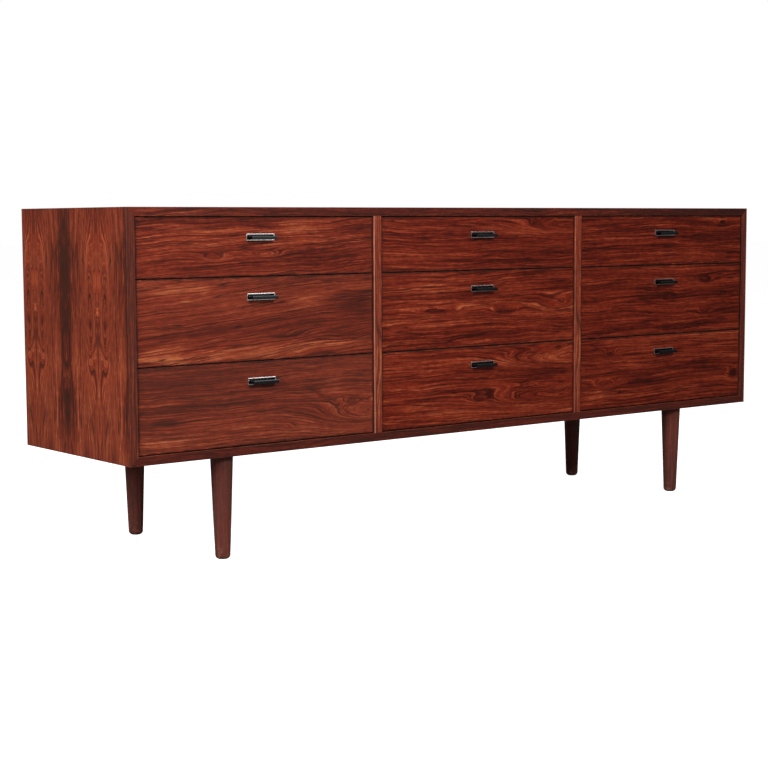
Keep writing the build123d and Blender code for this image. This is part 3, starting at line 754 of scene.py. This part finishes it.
# The top panel's patch darkens its right end over its whole height: painted shade, for the light
# falling off towards the right.
TOP_BOARD = board(
    51.0, 0.04, 1.2, growth={"wander": 0.08}, patches=[(0.85, 0.0, 0.60, 9.0, 0.0, -0.35)]
)
BOTTOM_BOARD = board(57.0, -0.04, growth={"wander": 0.08})
DIVIDER_BOARD = board(81.0, 0.10, 1.2)
paint("top_panel", long_panel_material("top_panel", TOP_BOARD, -0.10, 0.30))
paint("bottom_panel", long_panel_material("bottom_panel", BOTTOM_BOARD, -0.16, 0.35))
for side in ("left_side_panel", "right_side_panel"):
    paint(side, side_panel_material(side, SIDE_BOARD))
paint("left_divider", divider_material("left_divider", DIVIDER_BOARD, 0.6))
paint("right_divider", divider_material("right_divider", DIVIDER_BOARD, 0.2))


# ------------------------------------------------------------------------------------- legs
LEG_GROWTH = {"pith_across": 0.035, "pith_depth": 0.045, "wander": 0.02}
LEG_BROWN = colour(0.092, 0.046, 0.038)
LEG_BROWN_SHARE = 0.45
LEG_SCUFF = colour(0.21, 0.095, 0.070)
SCUFF_SCALE = 90.0
SCUFF_HEIGHT = 0.045  # scuffs fade out this far above the floor


def leg_material(name):
    """Turned rosewood leg: upright rings cut by the taper, scuffed near the floor, with painted
    shadow at its top under the case.
    """
    low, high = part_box(name)
    middle = (low + high) / 2
    material, tree, shader, place, (x, y, z) = new_material(f"{name}_wood")
    across = calc(tree, "SUBTRACT", x, middle.x)
    deep = calc(tree, "SUBTRACT", y, middle.y)
    timber = board(70.0 + 3 * LEGS.index(name), -0.10, 0.9, 0.7, growth=LEG_GROWTH)
    wood = saw(tree, timber, z, across, deep)
    base = mix(tree, LEG_BROWN_SHARE, wood["colour"], LEG_BROWN)
    scuff = noise(tree, place, SCUFF_SCALE, 4.0, 0.7)
    low_down = ramp(tree, z, SCUFF_HEIGHT, 0.0)
    worn = product(tree, ramp(tree, scuff, 0.50, 0.62), low_down, 0.6)
    base = mix(tree, worn, base, LEG_SCUFF)
    # Painted shadow: the top 12 mm of the leg darkened, where the case above shades it.
    top = ramp(tree, z, high.z - 0.012, high.z - 0.001)
    base = mix(tree, product(tree, top, 0.45), base, PAINTED_SHADE)
    finish_wood(tree, shader, base, wood)
    oiled(shader)
    return material


for leg in LEGS:
    paint(leg, leg_material(leg))


# --------------------------------------------------------------------------- inside timbers
OAK = {"light": colour(0.46, 0.29, 0.15), "dark": colour(0.29, 0.16, 0.075), "pores": 0.6}
BEECH = {"light": colour(0.50, 0.29, 0.15), "dark": colour(0.38, 0.20, 0.10), "pores": 0.3}
BIRCH = {"light": colour(0.60, 0.42, 0.25), "dark": colour(0.50, 0.32, 0.17), "pores": 0.15}
MAHOGANY = {"light": colour(0.30, 0.105, 0.048), "dark": colour(0.19, 0.058, 0.027), "pores": 0.5}
END_GRAIN = colour(0.62, 0.55, 0.50)
PLY_LAYER = 0.00165
PLY_DEPTH = 0.0001
OAK_DEPTH = 0.00012
PLY_DARK = colour(0.16, 0.085, 0.045)
PLY_DUST = colour(0.30, 0.22, 0.16)
DRAWER_SIDE_T = 0.0140
HAND_WORN = colour(0.20, 0.11, 0.055)
RUNNER_WORN = colour(0.23, 0.125, 0.065)


def drawer_box_material(drawer):
    """Oak sides with the grain front to back, and a back board with the grain across."""
    low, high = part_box(f"{drawer}_box")
    middle = (low + high) / 2
    material, tree, shader, _, (x, y, z) = new_material(f"{drawer}_oak")
    off_centre = calc(tree, "ABSOLUTE", calc(tree, "SUBTRACT", x, middle.x))
    is_side = calc(tree, "GREATER_THAN", off_centre, (high.x - low.x) / 2 - DRAWER_SIDE_T)
    is_back = calc(tree, "SUBTRACT", 1.0, is_side)
    along = total(tree, product(tree, y, is_side), product(tree, x, is_back))
    deep = total(tree, product(tree, x, is_side), product(tree, y, is_back))
    seed = 110.0 + 2 * DRAWERS.index(drawer)
    wood = use_group(
        tree, TIMBER, along=along, across=z, deep=deep, ring_scale=110.0,
        seed=calc(tree, "ADD", product(tree, is_back, 40.0), seed), **OAK,
    )
    ends = product(tree, ramp(tree, facing(tree)[1], 0.75, 0.95), is_side)
    base = mix(tree, ends, wood["colour"], mix(tree, 1.0, wood["colour"], END_GRAIN, "MULTIPLY"))
    rubbed = product(tree, ramp(tree, z, high.z - 0.004, high.z - 0.0005), 0.35)
    base = mix(tree, rubbed, base, HAND_WORN)
    finish_wood(tree, shader, base, wood, OAK_DEPTH)
    shader.inputs["Coat Weight"].default_value = 0.15
    return material


def plywood_material(name, node, thickness_axis, face_axis, timber):
    """Plywood: grain along one axis on its faces, thin layers on its edges."""
    low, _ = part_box(node)
    material, tree, shader, place, axes = new_material(name)
    along = axes[face_axis]
    across = axes[3 - face_axis - thickness_axis]
    thick = calc(tree, "SUBTRACT", axes[thickness_axis], low[thickness_axis])
    seed = low.x * 7.0
    wood = use_group(
        tree, TIMBER, along=along, across=across, deep=0.0, ring_scale=60.0, seed=seed, **timber
    )
    layer = calc(tree, "PINGPONG", thick, PLY_LAYER)
    layer = ramp(tree, layer, PLY_LAYER * 0.3, PLY_LAYER * 0.7)
    on_edge = ramp(tree, facing(tree)[thickness_axis], 0.6, 0.3)
    striped = mix(tree, product(tree, layer, on_edge), wood["colour"], PLY_DARK)
    dust = noise(tree, place, 14.0, 4.0, 0.65)
    base = mix(tree, ramp(tree, dust, 0.50, 0.80, 0.0, 0.14), striped, PLY_DUST)
    finish_wood(tree, shader, base, wood, PLY_DEPTH)
    return material


def runner_material():
    """Waxed beech, rubbed darker where the drawers slide."""
    material, tree, shader, _, (x, y, z) = new_material("runner_beech")
    wood = use_group(tree, TIMBER, along=y, across=z, deep=x, ring_scale=120.0, seed=95.0, **BEECH)
    rubbed = grain_noise(tree, x, y, z, (60.0, 3.0), 3.0)
    top = ramp(tree, facing(tree)[2], 0.6, 0.9)
    rubbed = product(tree, ramp(tree, rubbed, 0.35, 0.65), top, 0.6)
    base = mix(tree, rubbed, wood["colour"], RUNNER_WORN)
    finish_wood(tree, shader, base, wood)
    return material


for drawer in DRAWERS:
    paint(f"{drawer}_box", drawer_box_material(drawer))
    paint(f"{drawer}_bottom", plywood_material(f"{drawer}_ply", f"{drawer}_bottom", 2, 0, BIRCH))
paint("back_panel", plywood_material("back_ply", "back_panel", 1, 0, MAHOGANY))
paint("drawer_runners", runner_material())


# ------------------------------------------------------------------------------ metal and black
HAZE_SCALE = 240.0
SCRATCH_SCALE = 1900.0
DUST_SCALE = 300.0
SPECK_SCALE = 2600.0
DUST_DEPTH = 0.000004
LACQUER = colour(0.0045, 0.0040, 0.0048)
LACQUER_FILM = colour(0.016, 0.014, 0.014)
SPECK = colour(0.12, 0.11, 0.10)


def metal_material(name, bright, tarnish, rough_low, rough_high, relief):
    """Plated metal with cloudy tarnish and fine scratches."""
    material, tree, shader, place, _ = new_material(name)
    haze = noise(tree, place, HAZE_SCALE, 3.0, 0.6)
    scratch = noise(tree, place, SCRATCH_SCALE, 2.0, 0.6)
    base = mix(tree, ramp(tree, haze, 0.35, 0.7), bright, tarnish)
    tree.links.new(base, shader.inputs["Base Color"])
    shader.inputs["Metallic"].default_value = 1.0
    rough = ramp(tree, haze, 0.3, 0.75, rough_low, rough_high)
    rough = calc(tree, "ADD", rough, product(tree, scratch, 0.06))
    tree.links.new(rough, shader.inputs["Roughness"])
    bump(tree, shader, scratch, relief)
    return material


def black_material():
    """Glossy black with dust and dull finger marks."""
    material, tree, shader, place, _ = new_material("pull_black")
    dust = noise(tree, place, DUST_SCALE, 4.0, 0.65)
    speck = ramp(tree, noise(tree, place, SPECK_SCALE, 1.0), 0.66, 0.74)
    film = ramp(tree, dust, 0.4, 0.8, 0.0, 0.3)
    base = mix(tree, film, LACQUER, LACQUER_FILM)
    base = mix(tree, product(tree, speck, 0.08), base, SPECK)
    tree.links.new(base, shader.inputs["Base Color"])
    tree.links.new(ramp(tree, dust, 0.3, 0.75, 0.14, 0.26), shader.inputs["Roughness"])
    shader.inputs["Specular IOR Level"].default_value = 0.30
    bump(tree, shader, dust, DUST_DEPTH)
    return material


CHROME = metal_material(
    "pull_chrome", colour(0.84, 0.82, 0.80), colour(0.66, 0.63, 0.60), 0.09, 0.22, 0.000004
)
ZINC = metal_material(
    "zinc_plate", colour(0.58, 0.57, 0.55), colour(0.36, 0.34, 0.30), 0.30, 0.50, 0.00001
)
SCREW_ZINC = metal_material(
    "zinc_screw", colour(0.62, 0.58, 0.50), colour(0.34, 0.30, 0.24), 0.24, 0.42, 0.00001
)
BLACK = black_material()
for drawer in DRAWERS:
    paint(f"{drawer}_handle_frame", CHROME)
    paint(f"{drawer}_handle_grip", BLACK)
paint("leg_plates", ZINC)
paint("leg_studs", ZINC)
paint("wood_screws", SCREW_ZINC)

# ------------------------------------------------------------------------ screws of the pulls
SCREW_APART = 0.048
SCREW_TURNS = (0.9, 1.3)  # each screw's slot ends at another angle: by drawer, and by side
HEAD_FROM = 0.0020  # faces beyond this distance make up the top of the head
SCREW_SIDES = 28
SLOT_W = 0.0010
SLOT_DEPTH = 0.0011
SLOT_WALL = 0.00003
# Radius, and distance into the drawer from the back of its front: shank, washer and pan head.
SCREW_PROFILE = [
    (0.0014, -0.0115), (0.0018, -0.0111), (0.0018, 0.0), (0.0048, 0.0), (0.0050, 0.0002),
    (0.0050, 0.0006), (0.0048, 0.0008), (0.0038, 0.0008), (0.0038, 0.0019), (0.0036, 0.0025),
    (0.0031, 0.0029), (0.0021, 0.0031), (0.0008, 0.0032),
]


def pull_screw(mesh, x, y, z, turn):
    """Add one slotted pan-head screw with its washer, its axis along Y, its head at high y."""
    loops = []
    for radius, depth in SCREW_PROFILE:
        loop = []
        for i in range(SCREW_SIDES):
            angle = 2 * math.pi * i / SCREW_SIDES
            loop.append(mesh.verts.new((radius * math.cos(angle), depth, radius * math.sin(angle))))
        loops.append(loop)
    faces = [mesh.faces.new(loops[0]), mesh.faces.new(list(reversed(loops[-1])))]
    for inner, outer in zip(loops, loops[1:]):
        for i in range(SCREW_SIDES):
            j = (i + 1) % SCREW_SIDES
            faces.append(mesh.faces.new((inner[i], outer[i], outer[j], inner[j])))
    head = [face for face in faces if min(vert.co.y for vert in face.verts) > HEAD_FROM]
    for cut in (SLOT_W / 2, SLOT_W / 2 + SLOT_WALL, -SLOT_W / 2, -SLOT_W / 2 - SLOT_WALL):
        verts = {vert for face in head for vert in face.verts}
        edges = {edge for face in head for edge in face.edges}
        result = bmesh.ops.bisect_plane(
            mesh, geom=list(verts) + list(edges) + head, plane_co=(cut, 0, 0), plane_no=(1, 0, 0)
        )
        head = [item for item in result["geom"] if isinstance(item, bmesh.types.BMFace)]
    slot_low = SCREW_PROFILE[-1][1] - SLOT_DEPTH
    verts = {vert for face in head for vert in face.verts}
    for vert in verts:
        if abs(vert.co.x) <= SLOT_W / 2 + 0.000001:
            vert.co.y = slot_low
    turned = Matrix.Translation((x, y, z)) @ Matrix.Rotation(turn, 4, "Y")
    everything = verts | {vert for loop in loops for vert in loop if vert.is_valid}
    bmesh.ops.transform(mesh, matrix=turned, verts=list(everything))


for number, drawer in enumerate(DRAWERS):
    frame_low, frame_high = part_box(f"{drawer}_handle_frame")
    middle = (frame_low + frame_high) / 2
    y_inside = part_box(f"{drawer}_front")[1].y
    mesh = bmesh.new()
    for side in (-1, 1):
        turn = SCREW_TURNS[0] * number + SCREW_TURNS[1] * side
        pull_screw(mesh, middle.x + side * SCREW_APART / 2, y_inside, middle.z, turn)
    bmesh.ops.recalc_face_normals(mesh, faces=mesh.faces)
    data = bpy.data.meshes.new(f"{drawer}_pull_screws")
    mesh.to_mesh(data)
    mesh.free()
    data.materials.append(SCREW_ZINC)
    screws = bpy.data.objects.new(f"{drawer}_pull_screws", data)
    bpy.context.scene.collection.objects.link(screws)
    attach(screws, drawer)


# -------------------------------------------------------------------------- floor, light, camera
FLOOR_R = 60.0
FLOOR_GLOW = 0.88  # seen by the camera only
WORLD_SEEN, WORLD_MIRRORED, WORLD_LIGHT = 1.0, 0.22, 0.13


def stage_floor():
    """A pale floor that runs into the white surround without a line."""
    bpy.ops.mesh.primitive_circle_add(vertices=96, radius=FLOOR_R, fill_type="NGON")
    floor = bpy.context.object
    floor.name = "studio_floor"
    material, tree, shader, place, _ = new_material("studio_floor")
    rays = tree.nodes.new("ShaderNodeLightPath").outputs
    cloud = noise(tree, place, 0.6, 3.0)
    base = mix(tree, cloud, colour(0.78, 0.78, 0.78), colour(0.82, 0.82, 0.82))
    base = mix(tree, rays["Is Glossy Ray"], base, colour(0.20, 0.20, 0.20))
    base = mix(tree, rays["Is Diffuse Ray"], base, colour(0.26, 0.25, 0.24))
    tree.links.new(base, shader.inputs["Base Color"])
    shader.inputs["Roughness"].default_value = 0.9
    shader.inputs["Specular IOR Level"].default_value = 0.1
    shader.inputs["Emission Color"].default_value = colour(1.0, 1.0, 1.0)
    glow = ramp(tree, rays["Is Camera Ray"], 0.0, 1.0, 0.0, FLOOR_GLOW)
    tree.links.new(glow, shader.inputs["Emission Strength"])
    floor.data.materials.append(material)


# Soft lights: place, the point they face, width and height, and power in watts.
SOFTBOXES = {
    "key": ((-0.9, -4.0, 2.4), (-0.1, -0.25, 0.5), (0.6, 0.6), 133.0),
    "side": ((-3.6, -1.0, 1.6), (-1.0, 0.0, 0.5), (1.2, 1.2), 108.0),
    "front_card": ((1.9, -4.0, 1.2), (0.0, -0.2, 0.5), (1.6, 1.8), 8.0),
    "top_card": ((0.9, -0.9, 3.1), (-0.4, -0.2, 0.6), (1.4, 1.4), 24.0),
    "rear_fill": ((2.2, 3.4, 2.4), (0.0, 0.2, 0.5), (1.6, 1.6), 60.0),
}


def softbox(name, place, target, size, power):
    light = bpy.data.lights.new(name, "AREA")
    light.shape = "RECTANGLE"
    light.size, light.size_y = size
    light.energy = power
    lamp = bpy.data.objects.new(name, light)
    bpy.context.scene.collection.objects.link(lamp)
    lamp.location = place
    aim = Vector(target) - Vector(place)
    lamp.rotation_euler = aim.to_track_quat("-Z", "Y").to_euler()


def studio_world():
    """A surround that is white to the camera, and dim in reflections and as a light."""
    world = bpy.data.worlds.new("studio")
    bpy.context.scene.world = world
    world.use_nodes = True
    tree = world.node_tree
    background = tree.nodes["Background"]
    background.inputs["Color"].default_value = colour(1.0, 1.0, 1.0)
    rays = tree.nodes.new("ShaderNodeLightPath").outputs
    unseen = ramp(tree, rays["Is Diffuse Ray"], 0.0, 1.0, WORLD_MIRRORED, WORLD_LIGHT)
    strength = ramp(tree, rays["Is Camera Ray"], 0.0, 1.0, unseen, WORLD_SEEN)
    tree.links.new(strength, background.inputs["Strength"])


LENS_MM = 78.5
SENSOR_MM = 36.0
CAMERA_AZIMUTH = math.radians(38.46)  # looks this far to the right of straight back
CAMERA_DIP = math.radians(5.50)
CAMERA_ROLL = math.radians(-0.26)
CAMERA_FROM_CORNER = Vector((-1.7659, -3.0875, 0.5142))  # from the case's front left lower corner


def photo_camera():
    camera = bpy.data.objects.new("camera", bpy.data.cameras.new("camera"))
    bpy.context.scene.collection.objects.link(camera)
    camera.data.lens = LENS_MM
    camera.data.sensor_width = SENSOR_MM
    ahead = Vector(
        (
            math.sin(CAMERA_AZIMUTH) * math.cos(CAMERA_DIP),
            math.cos(CAMERA_AZIMUTH) * math.cos(CAMERA_DIP),
            -math.sin(CAMERA_DIP),
        )
    )
    level = Vector((math.cos(CAMERA_AZIMUTH), -math.sin(CAMERA_AZIMUTH), 0.0))
    upright = level.cross(ahead)
    right = math.cos(CAMERA_ROLL) * level + math.sin(CAMERA_ROLL) * upright
    up = math.cos(CAMERA_ROLL) * upright - math.sin(CAMERA_ROLL) * level
    turn = Matrix((right, up, -ahead)).transposed()
    camera.matrix_world = Matrix.Translation(case_low + CAMERA_FROM_CORNER) @ turn.to_4x4()
    bpy.context.scene.camera = camera


stage_floor()
studio_world()
for name, settings in SOFTBOXES.items():
    softbox(name, *settings)
photo_camera()
view = bpy.context.scene.view_settings
view.view_transform = "Standard"
view.look = "None"
